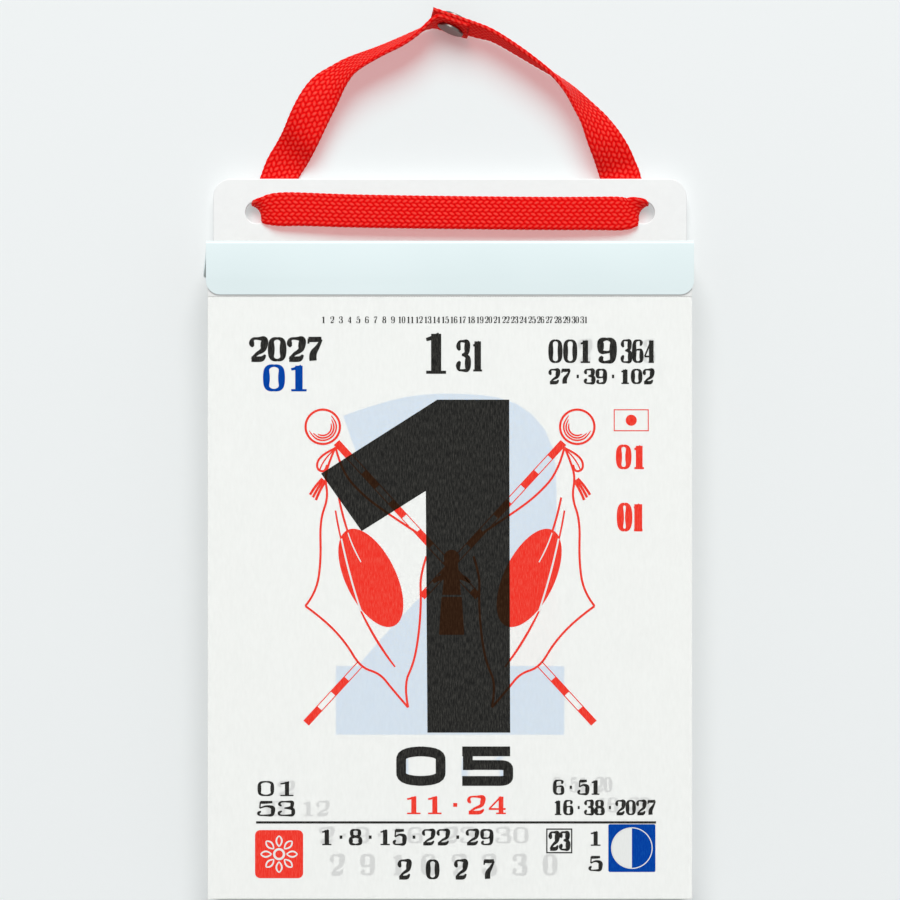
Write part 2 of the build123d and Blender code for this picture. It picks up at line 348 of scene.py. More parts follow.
def holeStations(side, rise):  # from behind the board, through its hole, to the front run
    x, z = strap["holeX"], strap["holeZ"]
    rear, front = strap["rearY"], strap["frontY"]
    crease = Vector((side, 0, strap["crease"])).normalized()  # slanted fold at the hole
    back = Vector((0, 1, 0))
    return [
        (Vector((side * (x - 3.4), rear, z + 5.2)), back, (9.0, 1.4, 0)),
        (Vector((side * (x - 1.5), rear, z + 2.1)), back, (6.6, 1.7, 0.4)),
        (Vector((side * (x - 0.6), rear, z + 0.6)), back + crease, (6.9, 1.7, 0.8)),
        (Vector((side * (x - 0.75), front, z + 0.5)), crease - back, (7.6, 1.6, 0.9)),
        (Vector((side * (x - 2.5), front - 0.4, z + 0.5)), crease * 0.25 - back, (8.8, 1.5, 0.2)),
        (Vector((side * (x - 5.0), front - 1.0, z + rise)), -back, (10.1, 1.45, 0)),
        (Vector((side * (x - 8.6), front - 1.6, z + rise)), -back, (10.7, 1.35, 0)),
        (Vector((side * (x - 14.0), front - 2.2, z + rise)), -back, (10.4, 1.3, 0)),
        (Vector((side * (x - 32.0), front - strap["bow"], z + rise * 0.5 - 0.45)), -back, (10.3, 1.3, 0)),
    ]


# places round the cord: shares of half its width and half its thickness, and the length round it
def sectionColumns():
    flat, edge = strap["flatColumns"], strap["edgeColumns"]
    run = strap["width"] - strap["thickness"]
    bend = math.pi * strap["thickness"] / 2
    columns = []
    for half in (1, -1):
        start = 0 if half > 0 else run + bend
        for k in range(flat):
            columns.append((half * (2 * k / flat - 1), 0, half, start + run * k / flat))
        for k in range(edge):
            turn = math.pi * k / edge
            length = start + run + bend * k / edge
            columns.append((half, half * math.sin(turn), half * math.cos(turn), length))
    columns.append((-1, 0, 1, 2 * (run + bend)))
    return columns


def evenLine(lines, count):  # the same even steps of length along several channels
    route = lines[0]
    reach = [0.0]
    for a, b in zip(route, route[1:]):
        reach.append(reach[-1] + (b - a).length)
    rows = []
    i = 0
    for k in range(count):
        target = reach[-1] * k / (count - 1)
        while i < len(route) - 2 and reach[i + 1] < target:
            i += 1
        share = (target - reach[i]) / max(reach[i + 1] - reach[i], 1e-9)
        rows.append([target] + [line[i].lerp(line[i + 1], share) for line in lines])
    return rows


def makeStrap(material):
    stations = legStations(leftLeg, -1)[::-1] + holeStations(-1, strap["leftRise"])
    stations += holeStations(1, strap["rightRise"])[::-1] + legStations(rightLeg, 1)
    lines = readSplines([[station[k] for station in stations] for k in range(3)], strap["routeSteps"])
    rows = evenLine(lines, strap["rings"])
    columns = sectionColumns()
    around = columns[-1][3]
    rowStep = around / strap["stitchRows"]
    last = len(rows) - 1
    chance = random.Random(strap["seed"])
    bm = bmesh.new()
    bmesh.ops.create_grid(bm, x_segments=last, y_segments=len(columns) - 1, size=0.5)
    stitchShadeAndHighlight = bm.verts.layers.float.new("stitchShadeAndHighlight")
    uvLayer = bm.loops.layers.uv.new("braid")
    spots = {}
    for vertex in bm.verts:
        ring = round((vertex.co.x + 0.5) * last)
        column = round((vertex.co.y + 0.5) * (len(columns) - 1))
        reach, centre, face, section = rows[ring]
        along = (rows[min(ring + 1, last)][1] - rows[max(ring - 1, 0)][1]).normalized()
        face = (face - along * face.dot(along)).normalized()
        across = along.cross(face)
        width, thickness, cup = section
        share, bulge, height, length = columns[column]
        row = round(length / rowStep)
        away = (length / rowStep - row) * strap["stitchNarrow"]
        slant = strap["stitchSlant"] * away * (1 if row % 2 else -1)
        step = (reach / strap["stitch"] + 0.5 * (row % 2) + slant) % 1
        lump = max(0, 1 - (2 * step - 1) ** 2 * strap["stitchTaper"] - away ** 2)  # one stitch of the braid
        lump = lump ** strap["stitchRound"]
        lift = strap["relief"] * (lump - strap["stitchBase"])
        offset = across * (share * (width - thickness) / 2 + bulge * (thickness / 2 + lift))
        offset += face * (height * (thickness / 2 + lift) - cup * (1 - share ** 2))
        place = centre + offset
        if ring in (0, last):
            place += along * (chance.random() * strap["fray"] * (1 if ring else -1))
        vertex.co = place * mm
        # stitch height, kept for the cord's colour ramp, which paints highlight on the tops and shade in the
        # gaps
        vertex[stitchShadeAndHighlight] = lump
        spots[vertex] = (reach, length)
    for face in bm.faces:
        for loop in face.loops:
            loop[uvLayer].uv = spots[loop.vert]
    bmesh.ops.remove_doubles(bm, verts=bm.verts, dist=1e-7)
    bmesh.ops.holes_fill(bm, edges=[edge for edge in bm.edges if edge.is_boundary], sides=0)
    bmesh.ops.recalc_face_normals(bm, faces=bm.faces)
    piece = makePiece("hanging_strap", bm, material, smooth=True)
    route = [row[1] * mm for row in rows[::strap["pathStep"]]] + [rows[-1][1] * mm]
    return piece, route, rows[-1][0] * mm


hangingStrap, strapRoute, strapLength = makeStrap(braidedCord())
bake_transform(hangingStrap)
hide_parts("strap_left_leg", "strap_right_leg", "strap_front")
hangingStrap.visible_diffuse = False  # keeps the white card and wall beside the cord white
print("hanging strap", round(strapLength, 4), "m long")


# rivet through the lap: two spun caps

rivet = {
    "radius": 4.25, "height": 0.95, "steps": 72, "profileSteps": 6,
    "upper": {"lean": 5, "roll": 5, "shift": (0.3, 0, 0)},
    "lower": {"lean": 5, "roll": 9, "shift": (0.3, 0.9, -0.22)},
}


def capFrame(seat):  # each cap sits a little askew on the lap
    place = Matrix((lapAlong, lapUp.cross(lapAlong), lapUp)).transposed().to_4x4()
    for turn, axis in (("roll", "X"), ("lean", "Y")):
        place = Matrix.Rotation(math.radians(seat[turn]), 4, axis) @ place
    return Matrix.Translation(Vector(seat["shift"]) - Vector((0, 0, strap["lapDrop"]))) @ place


def rivetCap(name, side, level, node, material):
    r, h = rivet["radius"], rivet["height"]
    dome, roll = readSplines([
        [(0, 0, h), (r * 0.5, 0, h), (r * 0.86, 0, h * 0.97), (r * 0.95, 0, h * 0.92)],
        [(r * 0.95, 0, h * 0.92), (r, 0, h * 0.86), (r, 0, h * 0.5), (r, 0, h * 0.1), (r * 0.96, 0, 0)],
    ], rivet["profileSteps"])
    bm = bmesh.new()
    verts = [bm.verts.new(place) for place in dome + roll[1:] + [Vector((0, 0, 0))]]
    edges = [bm.edges.new(pair) for pair in zip(verts, verts[1:])]
    bmesh.ops.spin(bm, geom=verts + edges, cent=(0, 0, 0), axis=(0, 0, 1), angle=2 * math.pi,
                   steps=rivet["steps"], use_merge=True)
    bmesh.ops.remove_doubles(bm, verts=bm.verts, dist=0.001)
    if side == "lower":
        bmesh.ops.rotate(bm, verts=bm.verts, cent=(0, 0, 0), matrix=Matrix.Rotation(math.pi, 3, "X"))
    bmesh.ops.translate(bm, verts=bm.verts, vec=(0, 0, level))
    bmesh.ops.transform(bm, verts=bm.verts, matrix=Matrix.Scale(mm, 4) @ capFrame(rivet[side]))
    bmesh.ops.recalc_face_normals(bm, faces=bm.faces)
    piece = makePiece(name, bm, material, "hanging_loop", True)
    piece.visible_shadow = False  # the tinted shadow of the lap shows alone
    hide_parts(node)
    return piece


rivetSteel = platedSteel("rivetSteel", colour(112, 105, 101), 0.3)
lowerCap = rivetCap("rivet_lower_cap", "lower", 0, "rivet_head", rivetSteel)
upperCap = rivetCap("rivet_upper_cap", "upper", 2 * strap["thickness"], "rivet_top_cap", rivetSteel)
print("rivet caps spun")


# backing board: card with two holes and rounded upper corners

board = {
    "cornerRadius": 5.6, "holeRadius": 3.5, "edge": 0.25,
    "holeSides": 72, "cornerSides": 12, "edgeSides": 3, "sharpTurn": 1,  # radians
}


def makeBoard():
    bm = bmesh.new()
    low, high = boardLow / mm, boardHigh / mm
    corners = [(low.x, low.z), (high.x, low.z), (high.x, high.z), (low.x, high.z)]
    ring = [bm.verts.new((x, low.y, z)) for x, z in corners]
    bm.faces.new(ring)
    roundVerts(bm, ring[2:], board["cornerRadius"], board["cornerSides"])
    bmesh.ops.delete(bm, geom=bm.faces[:], context="FACES_ONLY")
    for side in (-1, 1):
        place = Matrix.Translation((side * strap["holeX"], low.y, strap["holeZ"]))
        bmesh.ops.create_circle(bm, segments=board["holeSides"], radius=board["holeRadius"],
                                matrix=place @ Matrix.Rotation(math.pi / 2, 4, "X"))
    bmesh.ops.triangle_fill(bm, use_beauty=True, use_dissolve=True, edges=bm.edges[:], normal=(0, -1, 0))
    made = bmesh.ops.extrude_face_region(bm, geom=bm.faces[:])
    bmesh.ops.translate(bm, verts=pick(made["geom"], BMVert), vec=(0, high.y - low.y, 0))
    bmesh.ops.recalc_face_normals(bm, faces=bm.faces)
    rims = [edge for edge in bm.edges if abs(edge.calc_face_angle(0)) > board["sharpTurn"]]
    bmesh.ops.bevel(bm, geom=rims, offset=board["edge"], offset_type="OFFSET", affect="EDGES",
                    segments=board["edgeSides"], profile=0.5, material=-1)
    bmesh.ops.scale(bm, verts=bm.verts, vec=(mm, mm, mm))
    piece = makePiece("card_board", bm, coatedCard(), "board")
    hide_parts("backing_board")


makeBoard()
print("backing board cut")


# folded tin header

header = {
    "padHalf": 74.0, "sideGap": 0.25, "tin": 0.3, "bend": 0.95, "corner": 4.2, "rearFlange": 14.0,
    "flapHeight": 11.0, "flapBend": 1.0, "flapCorner": 3.0, "flapSetback": 1.4,
    "leftFlare": 6.0, "rightFlare": 1.0, "steps": 8,
    "lipHeight": 6.2, "lipCrimp": 0.45,  # lower lip pressed towards the page
    "rim": 0.07, "rimSegments": 2, "rimAngle": 50,
    "near": 0.01, "foldLine": 3,  # for finding edges: a tolerance, and what is longer than a bend's steps
}
headerLow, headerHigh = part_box("tin_header")
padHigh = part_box("sheets_december")[1]


def pullEdges(bm, edges, step):  # a flat panel of tin
    made = bmesh.ops.extrude_edge_only(bm, edges=edges)
    bmesh.ops.translate(bm, verts=pick(made["geom"], BMVert), vec=step)
    return pick(made["geom"], BMEdge)


def bendEdges(bm, edges, centre, axis, angle):  # a rolled bend of tin
    made = bmesh.ops.spin(bm, geom=edges, cent=centre, axis=axis, angle=angle, steps=header["steps"])
    return pick(made["geom_last"], BMEdge)


def makeHeader():
    low, high = headerLow / mm, headerHigh / mm
    tin, bend, near = header["tin"], header["bend"], header["near"]
    halfWidth = header["padHalf"] + header["sideGap"] + tin
    root = halfWidth - header["flapBend"]
    joinY = low.y + bend
    rearY = padHigh.y / mm + tin
    bm = bmesh.new()
    top = [bm.verts.new((x, joinY, high.z)) for x in (-halfWidth, -root, root, halfWidth)]
    seam = [bm.edges.new(pair) for pair in zip(top, top[1:])]
    middle = seam[1]
    front = bendEdges(bm, seam, (0, joinY, high.z - bend), (1, 0, 0), math.pi / 2)
    plate = pullEdges(bm, front, (0, 0, low.z - high.z + bend + header["lipHeight"]))
    plate = pullEdges(bm, plate, (0, header["lipCrimp"], -header["lipHeight"]))
    lines = [edge for edge in bm.edges if abs(abs(edge.verts[0].co.x) - root) < near
             and abs(edge.verts[0].co.x - edge.verts[1].co.x) < near
             and edge.calc_length() > header["foldLine"]]
    bmesh.ops.dissolve_edges(bm, edges=lines, use_verts=True)
    ends = [vertex for vertex in bm.verts if abs(vertex.co.x) > root + near and vertex.co.z < low.z + near]
    setback = header["flapSetback"]
    flapLow = low.y + tin + setback
    flapHigh = rearY - tin - setback
    strip = pullEdges(bm, [middle], (0, flapLow - joinY, 0))
    rootStrip = pullEdges(bm, strip, (0, flapHigh - flapLow, 0))
    sides = [edge for edge in bm.edges if abs(edge.verts[0].co.x - edge.verts[1].co.x) < near
             and abs(edge.calc_length() - (flapHigh - flapLow)) < near]
    rear = pullEdges(bm, rootStrip, (0, rearY - bend - flapHigh, 0))
    rear = bendEdges(bm, rear, (0, rearY - bend, high.z - bend), (1, 0, 0), -math.pi / 2)
    pullEdges(bm, rear, (0, 0, bend - header["rearFlange"]))
    for edge in sides:
        side = 1 if edge.verts[0].co.x > 0 else -1
        flare = math.radians(header["rightFlare"] if side > 0 else header["leftFlare"])
        radius = header["flapBend"]
        centre = (side * root, 0, high.z - radius)
        tip = bendEdges(bm, [edge], centre, (0, 1, 0), side * (math.pi / 2 - flare))
        drop = header["flapHeight"] - radius
        tip = pullEdges(bm, tip, (side * drop * math.tan(flare), 0, -drop))
        roundVerts(bm, list(tip[0].verts), header["flapCorner"], header["steps"])
    roundVerts(bm, ends, header["corner"], header["steps"])
    bmesh.ops.remove_doubles(bm, verts=bm.verts, dist=0.001)
    bmesh.ops.recalc_face_normals(bm, faces=bm.faces)
    if sum(face.normal.z * face.calc_area() for face in bm.faces) < 0:
        bmesh.ops.reverse_faces(bm, faces=bm.faces)
    bmesh.ops.solidify(bm, geom=bm.faces[:], thickness=tin)
    bmesh.ops.scale(bm, verts=bm.verts, vec=(mm, mm, mm))
    piece = makePiece("folded_tin_header", bm, satinEnamel(), "board", True)
    rounding = piece.modifiers.new("edgeRound", "BEVEL")
    rounding.width = header["rim"] * mm
    rounding.segments = header["rimSegments"]
    rounding.limit_method = "ANGLE"
    rounding.angle_limit = math.radians(header["rimAngle"])
    rounding.harden_normals = True
    piece.visible_diffuse = False  # keeps its bright fold off the card above
    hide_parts("tin_header")


makeHeader()
print("tin header folded")


# pad: every sheet of each month's stack

pad = {"paper": 0.042, "pitch": 0.05, "inset": 0.004, "stagger": 0.09, "seed": 12}
stackPaper = stackedPaper()


def monthStack(node, chance):
    low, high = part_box(node)
    count = round((high.y - low.y) / (pad["pitch"] * mm))
    step = (high.y - low.y) / count
    bm = bmesh.new()
    tone = bm.verts.layers.float.new("sheetTone")
    for k in range(count):
        slip = Vector((chance.uniform(-1, 1), 0, chance.uniform(-1, 1))) * pad["stagger"] * mm
        centre = Vector(((low.x + high.x) / 2, low.y + (k + 0.5) * step, (low.z + high.z) / 2)) + slip
        size = (high.x - low.x, pad["paper"] * mm, high.z - low.z)
        made = bmesh.ops.create_cube(bm, size=1, matrix=Matrix.LocRotScale(centre, None, size))
        shade = chance.random()
        for vertex in made["verts"]:
            vertex[tone] = shade
    piece = makePiece(node.replace("sheets", "stack"), bm, stackPaper, "board")
    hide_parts(node)


padChance = random.Random(pad["seed"])
monthNodes = [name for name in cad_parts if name.startswith("sheets_")]
for monthNode in sorted(monthNodes):
    monthStack(monthNode, padChance)
print("pad stacked in", len(monthNodes), "months")


# day sheets with their tear line, and the bound stubs

daySheet = {"paper": 0.032, "inset": 0.018, "toothPitch": 0.8, "toothDepth": 0.12}
frontPaper = thinPaper("seeThroughPaper", 0.6)
nextPaper = thinPaper("nextPaper", 0.8)
solidPaper = thinPaper("dayPaper", 1.0)


def makeDaySheet(day, material):
    low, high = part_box(f"sheet_day_{day}")
    teeth = 2 * round((high.x - low.x) / mm / daySheet["toothPitch"])
    bm = bmesh.new()
    bmesh.ops.create_grid(bm, x_segments=teeth, y_segments=1, size=0.5)
    for vertex in bm.verts:
        place = round((vertex.co.x + 0.5) * teeth)
        bite = daySheet["toothDepth"] * mm if vertex.co.y > 0 and place % 2 else 0
        x = low.x + (high.x - low.x) * place / teeth
        z = high.z - bite if vertex.co.y > 0 else low.z
        vertex.co = (x, low.y + daySheet["inset"] * mm, z)
    made = bmesh.ops.extrude_face_region(bm, geom=bm.faces[:])
    bmesh.ops.translate(bm, verts=pick(made["geom"], BMVert), vec=(0, daySheet["paper"] * mm, 0))
    bmesh.ops.recalc_face_normals(bm, faces=bm.faces)
    piece = makePiece(f"day_sheet_{day}", bm, material, f"day_{day}")
    piece.visible_shadow = material is solidPaper  # thin paper passes the light to the sheet below
    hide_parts(f"sheet_day_{day}")


for day, paper in ((1, frontPaper), (2, nextPaper), (3, solidPaper)):
    makeDaySheet(day, paper)
    dress(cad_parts[f"stub_day_{day}"], solidPaper)
wireSteel = platedSteel("wireSteel", colour(186, 184, 178), 0.3)
for name in ("binding_wire_left", "binding_wire_right"):
    dress(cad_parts[name], wireSteel)
print("day sheets cut")


# print on the day sheets, drawn in millimetres from the page's middle and the header's lower edge

pageTop = headerLow.z
press = {
    "level": 0.00095, "levels": 5,  # strokes of one ink lie on levels, so that none share a plane
    "figureWidth": 0.62, "penGain": 1.2, "penBase": 0.022, "poleRim": 0.3,
    "strokeSteps": 5, "cornerSides": 8,
}
numerals = {  # pen strokes in a box 0.62 wide and 1 high: x, y and pen width
    "0": [[(.31, .975, .05), (.085, .975, .1), (.085, .5, .2), (.085, .025, .1), (.31, .025, .05)],
          [(.31, .975, .05), (.535, .975, .1), (.535, .5, .2), (.535, .025, .1), (.31, .025, .05)]],
    "1": [[(.33, .03, .19), (.33, .5, .19), (.33, .97, .19)],
          [(.40, .97, .05), (.26, .86, .08), (.10, .83, .05)],
          [(.10, .022, .045), (.33, .022, .05), (.56, .022, .045)]],
    "2": [[(.13, .62, .05), (.04, .70, .17), (.08, .97, .06), (.32, .97, .05), (.57, .96, .18), (.53, .66, .2),
           (.50, .45, .12), (.20, .28, .07), (.07, .06, .06)],
          [(.05, .07, .14), (.3, .06, .14), (.5, .08, .14), (.57, .26, .04)]],
    "3": [[(.14, .68, .05), (.04, .76, .16), (.10, .975, .06), (.30, .975, .05), (.53, .97, .15),
           (.51, .76, .18), (.50, .55, .12), (.24, .53, .05)],
          [(.24, .53, .05), (.55, .52, .12), (.55, .27, .2), (.54, .02, .13), (.28, .025, .05), (.06, .03, .06),
           (.04, .24, .17), (.15, .32, .05)]],
    "4": [[(.44, .97, .06), (.22, .6, .05), (.03, .27, .05)],
          [(.02, .27, .06), (.3, .27, .06), (.6, .27, .06)],
          [(.44, .03, .18), (.44, .5, .18), (.44, .97, .18)],
          [(.27, .022, .045), (.44, .022, .05), (.61, .022, .045)]],
    "5": [[(.12, .93, .13), (.3, .92, .14), (.54, .95, .1)],
          [(.12, .97, .05), (.11, .75, .05), (.1, .52, .05)],
          [(.1, .52, .05), (.28, .68, .06), (.46, .64, .12), (.57, .54, .2), (.56, .3, .2), (.54, .02, .14),
           (.27, .025, .05), (.06, .03, .06), (.04, .22, .16), (.14, .3, .05)]],
    "6": [[(.47, .74, .05), (.57, .86, .15), (.46, .985, .05), (.34, .975, .05), (.09, .95, .12),
           (.085, .45, .2), (.08, .025, .12), (.32, .025, .05)],
          [(.32, .025, .05), (.55, .03, .12), (.545, .3, .18), (.54, .57, .11), (.34, .57, .05), (.2, .56, .05),
           (.15, .42, .05)]],
    "7": [[(.06, .93, .13), (.3, .92, .14), (.56, .94, .12)],
          [(.07, .97, .04), (.065, .85, .04), (.06, .74, .04)],
          [(.56, .93, .05), (.42, .6, .1), (.27, .4, .17), (.22, .2, .19), (.24, .0, .19)]],
    "8": [[(.31, .975, .05), (.12, .97, .11), (.12, .77, .17), (.13, .6, .12), (.31, .53, .08), (.54, .47, .12),
           (.545, .26, .2), (.54, .025, .12), (.31, .025, .05)],
          [(.31, .975, .05), (.5, .97, .11), (.5, .77, .17), (.49, .6, .12), (.31, .53, .08), (.08, .47, .12),
           (.075, .26, .2), (.08, .025, .12), (.31, .025, .05)]],
    "·": [[(.24, .5, .14), (.31, .5, .14), (.38, .5, .14)]],
}
bigOne = {
    "outline": [(-6.9, -133.9), (18.4, -133.9), (18.1, -32.1), (-3.9, -32.1), (-39.4, -54.7), (-27.0, -72.3),
                (-7.4, -60.0)],
    "stem": [(-6.9, -133.9), (18.4, -133.9), (18.1, -32.1), (-7.4, -32.1)],
    "flag": [(-39.4, -54.7), (-27.0, -72.3), (-7.41, -60.0), (-7.41, -34.3)],
}
numerals["9"] = [[(press["figureWidth"] - x, 1 - y, pen) for x, y, pen in stroke] for stroke in numerals["6"]]
blockNumerals = {  # heavy strokes of one width
    "0": [[(.34, .88), (.1, .88), (.1, .5), (.1, .12), (.34, .12)],
          [(.28, .88), (.52, .88), (.52, .5), (.52, .12), (.28, .12)]],
    "1": [[(.36, .0), (.36, .5), (.36, 1.0)], [(.4, .9), (.24, .8), (.06, .72)]],
    "2": [[(.05, .845), (.16, .89), (.29, .91), (.49, .89), (.5, .68), (.49, .5), (.3, .36), (.12, .12)],
          [(.0, .095), (.3, .095), (.61, .095)]],
    "3": [[(.169, .785), (.199, .857), (.331, .91), (.459, .844), (.507, .696), (.448, .554), (.353, .516),
           (.236, .516)],
          [(.236, .516), (.36, .516), (.462, .474), (.526, .321), (.474, .162), (.336, .09), (.193, .148),
           (.161, .225)]],
    "4": [[(.43, .0), (.43, .5), (.43, .99)], [(.394, .941), (.237, .627), (.08, .312)],
          [(.0, .26), (.3, .26), (.62, .26)], [(.315, .888), (.37, .888), (.43, .888)]],
    "5": [[(.56, .88), (.3, .88), (.05, .88)], [(.11, .98), (.11, .7), (.11, .4)],
          [(.06, .53), (.24, .53), (.36, .53), (.54, .53), (.54, .33), (.54, .12), (.36, .12), (.24, .12),
           (.05, .12)]],
}


def penStroke(ink, controls):
    ink["strokes"].append(controls)


def drawStrokes(ink):  # a ribbon of ink along each smooth line
    bm = ink["bm"]
    for k, line in enumerate(readSplines(ink["strokes"], press["strokeSteps"])):
        last = len(line) - 1
        level = press["level"] * (1 + k % press["levels"])
        made = bmesh.ops.create_grid(bm, x_segments=last, y_segments=1, size=0.5)
        for vertex in made["verts"]:
            i = round((vertex.co.x + 0.5) * last)
            along = line[min(i + 1, last)] - line[max(i - 1, 0)]
            across = Vector((-along.y, along.x, 0)).normalized() * line[i].z
            vertex.co = Vector((line[i].x, line[i].y, level)) + across * vertex.co.y


def penLine(ink, a, b, pen):
    middle = [(p + q) / 2 for p, q in zip(a, b)]
    penStroke(ink, [(*a, pen), (*middle, pen), (*b, pen)])


def writeNumber(ink, text, left, right, base, height, spread=0.1, weight=1.15, pen=None):
    wide = press["figureWidth"]
    stretch = (right - left) / (len(text) * wide + (len(text) - 1) * spread)
    for k, mark in enumerate(text):
        if mark == " ":
            continue
        start = left + k * (wide + spread) * stretch
        for stroke in (blockNumerals if pen else numerals)[mark]:
            controls = []
            for x, y, *own in stroke:
                width = pen or (own[0] * press["penGain"] + press["penBase"]) * weight * height
                controls.append((start + x * stretch, base + y * height, width))
            penStroke(ink, controls)


def fillShape(ink, outline, corner=0):
    bm = ink["bm"]
    verts = [bm.verts.new((x, y, 0)) for x, y in outline]
    bm.faces.new(verts)
    if corner:
        roundVerts(bm, verts, corner, press["cornerSides"])


def fillBox(ink, left, right, low, high, corner=0):
    fillShape(ink, [(left, low), (right, low), (right, high), (left, high)], corner)


def frameBox(ink, left, right, low, high, pen):
    for y in (low, high):
        penLine(ink, (left - pen / 2, y), (right + pen / 2, y), pen)
    for x in (left, right):
        penLine(ink, (x, low), (x, high), pen)


def disc(ink, x, y, wide, tall, turn=0, sides=64):
    place = Matrix.Translation((x, y, 0)) @ Matrix.Rotation(math.radians(turn), 4, "Z")
    place = place @ Matrix.Diagonal((wide, tall, 1, 1))
    bmesh.ops.create_circle(ink["bm"], cap_ends=True, segments=sides, radius=1, matrix=place)


def ring(ink, x, y, radius, pen, sides=64):
    bm = ink["bm"]
    edges = []
    for size in (radius - pen / 2, radius + pen / 2):
        made = bmesh.ops.create_circle(bm, segments=sides, radius=size, matrix=Matrix.Translation((x, y, 0)))
        edges += list({edge for vertex in made["verts"] for edge in vertex.link_edges})
    bmesh.ops.bridge_loops(bm, edges=edges)


def stripedPole(ink, a, b, pen, bands, shown):
    a, b = Vector(a), Vector(b)
    rim = press["poleRim"]
    side = Vector((a.y - b.y, b.x - a.x)).normalized() * (pen - rim) / 2
    for start, end in shown:
        for offset in (side, -side):
            penLine(ink, a.lerp(b, start) + offset, a.lerp(b, end) + offset, rim)
        for k in range(0, bands, 2):
            u, v = max(k / bands, start), min((k + 1) / bands, end)
            if v > u:
                penLine(ink, a.lerp(b, u), a.lerp(b, v), pen - 2 * rim)


def crossedFlags(ink, gap):  # festive pair of flags hanging from striped poles, one the mirror of the other
    ballX, ballY = 38.9, -40.4
    for side in (-1, 1):
        def line(target, points, pen=0.68, tip=0.68):
            ends = (0, len(points) - 1)
            penStroke(target, [(side * x, y, tip if k in ends else pen) for k, (x, y) in enumerate(points)])
        ring(ink, side * ballX, ballY, 5.25, 0.7)
        stripedPole(ink, (side * 34.7, -45.2), (side * -44.0, -131.0), 2.3, 19, ((0, 0.55), (0.79, 1)))
        for radius, start, end in ((4.3, 127, 344), (3.5, 140, 326), (2.7, 158, 304)):  # shading in the ball
            turns = [math.radians(start + (end - start) * k / 7) for k in range(8)]
            arc = [(ballX + radius * math.cos(turn), ballY + radius * math.sin(turn)) for turn in turns]
            line(ink, arc, 0.5, 0.25)
        line(ink, [(35.0, -46.6), (36.9, -51.0), (38.3, -56.0), (37.2, -62.0), (39.8, -69.0), (39.4, -81.0),
                   (40.8, -91.0), (44.2, -95.2)])
        line(ink, [(44.2, -95.2), (38.4, -99.4), (31.8, -106.4), (27.4, -114.0), (21.4, -115.8), (18.0, -120.2),
                   (12.8, -126.2)])
        line(ink, [(12.8, -126.2), (14.2, -119.2), (11.0, -112.6), (9.4, -103.0), (8.8, -93.0), (9.2, -86.0),
                   (7.2, -80.0)])
        line(ink, [(35.0, -46.6), (33.2, -54.0), (26.6, -61.4), (18.4, -67.4), (7.6, -74.4)])
        disc(ink, side * 24.2, -86.6, 7.7, 16.3, -side * 26, 96)
        line(ink, [(35.0, -66.0), (34.4, -70.0), (33.2, -75.2)], 0.6, 0.5)
        line(gap, [(33.2, -74.6), (30.9, -85.8), (27.2, -96.8)], 0.6, 0.5)
        line(ink, [(27.4, -96.4), (22.6, -106.4), (16.8, -113.8)], 1.0, 0.5)
        line(ink, [(34.0, -62.0), (32.8, -68.0), (31.0, -73.2)], 0.75, 0.6)
        line(gap, [(31.2, -72.8), (29.8, -77.2), (27.2, -81.8)], 0.5, 0.3)
        line(ink, [(35.2, -47.0), (40.0, -49.2), (41.0, -53.4), (38.0, -54.4), (37.6, -52.0)])  # tied cord
        line(ink, [(35.8, -47.8), (38.8, -50.4), (40.0, -54.0)], 0.5, 0.4)
        for k in range(3):
            line(ink, [(38.0 + 0.5 * k, -57.0 + 0.4 * k), (39.8 + 0.7 * k, -59.6 + 0.6 * k),
                       (41.0 + 0.9 * k, -62.8 + 0.8 * k)], 0.8, 0.8)


def tassel(ink):  # knot and tassel where the poles cross
    disc(ink, 0.5, -80.4, 2.4, 2.4, sides=32)
    fillShape(ink, [(-1.4, -82.0), (2.4, -82.0), (3.4, -91.8), (-2.4, -91.8)])
    for side in (-1, 1):
        penStroke(ink, [(0.5, -86.4, 1.4), (0.5 + side * 3.2, -85.6, 2.2), (0.5 + side * 5.6, -88.0, 0.8)])
    fillShape(ink, [(-2.6, -92.4), (3.6, -92.4), (4.4, -104.0), (-3.4, -104.0)], 0.4)


def clipTo(bm, corners):  # the drawing inside a convex outline that turns anticlockwise
    for (x, y), (nextX, nextY) in zip(corners, corners[1:] + corners[:1]):
        bmesh.ops.bisect_plane(bm, geom=bm.verts[:] + bm.edges[:] + bm.faces[:], plane_co=(x, y, 0),
                               plane_no=(nextY - y, x - nextX, 0), clear_outer=True)


def overprint(ink):  # where black was printed over the red drawing
    crossedFlags(ink, {"strokes": [], "bm": bmesh.new()})
    tassel(ink)
    drawStrokes(ink)
    drawing = ink["bm"].copy()
    clipTo(ink["bm"], bigOne["stem"])
    clipTo(drawing, bigOne["flag"])
    mesh = bpy.data.meshes.new("overprint")
    drawing.to_mesh(mesh)
    drawing.free()
    ink["bm"].from_mesh(mesh)
    bpy.data.meshes.remove(mesh)
    ink["strokes"] = []


def moonFace(blue, white):
    x, y = 55.6, -169.2
    fillBox(blue, 48.4, 62.8, -176.5, -161.9, 0.5)
    ring(white, x, y, 6.2, 0.28)
    bm = white["bm"]
    verts = bmesh.ops.create_circle(bm, cap_ends=True, segments=64, radius=6.1,
                                    matrix=Matrix.Translation((x, y, 0)))["verts"]
    faces = {face for vertex in verts for face in vertex.link_faces if len(face.verts) == 64}
    geom = verts + list(faces) + list({edge for vertex in verts for edge in vertex.link_edges})
    bmesh.ops.bisect_plane(bm, geom=geom, plane_co=(x, 0, 0), plane_no=(1, 0, 0), clear_outer=True)


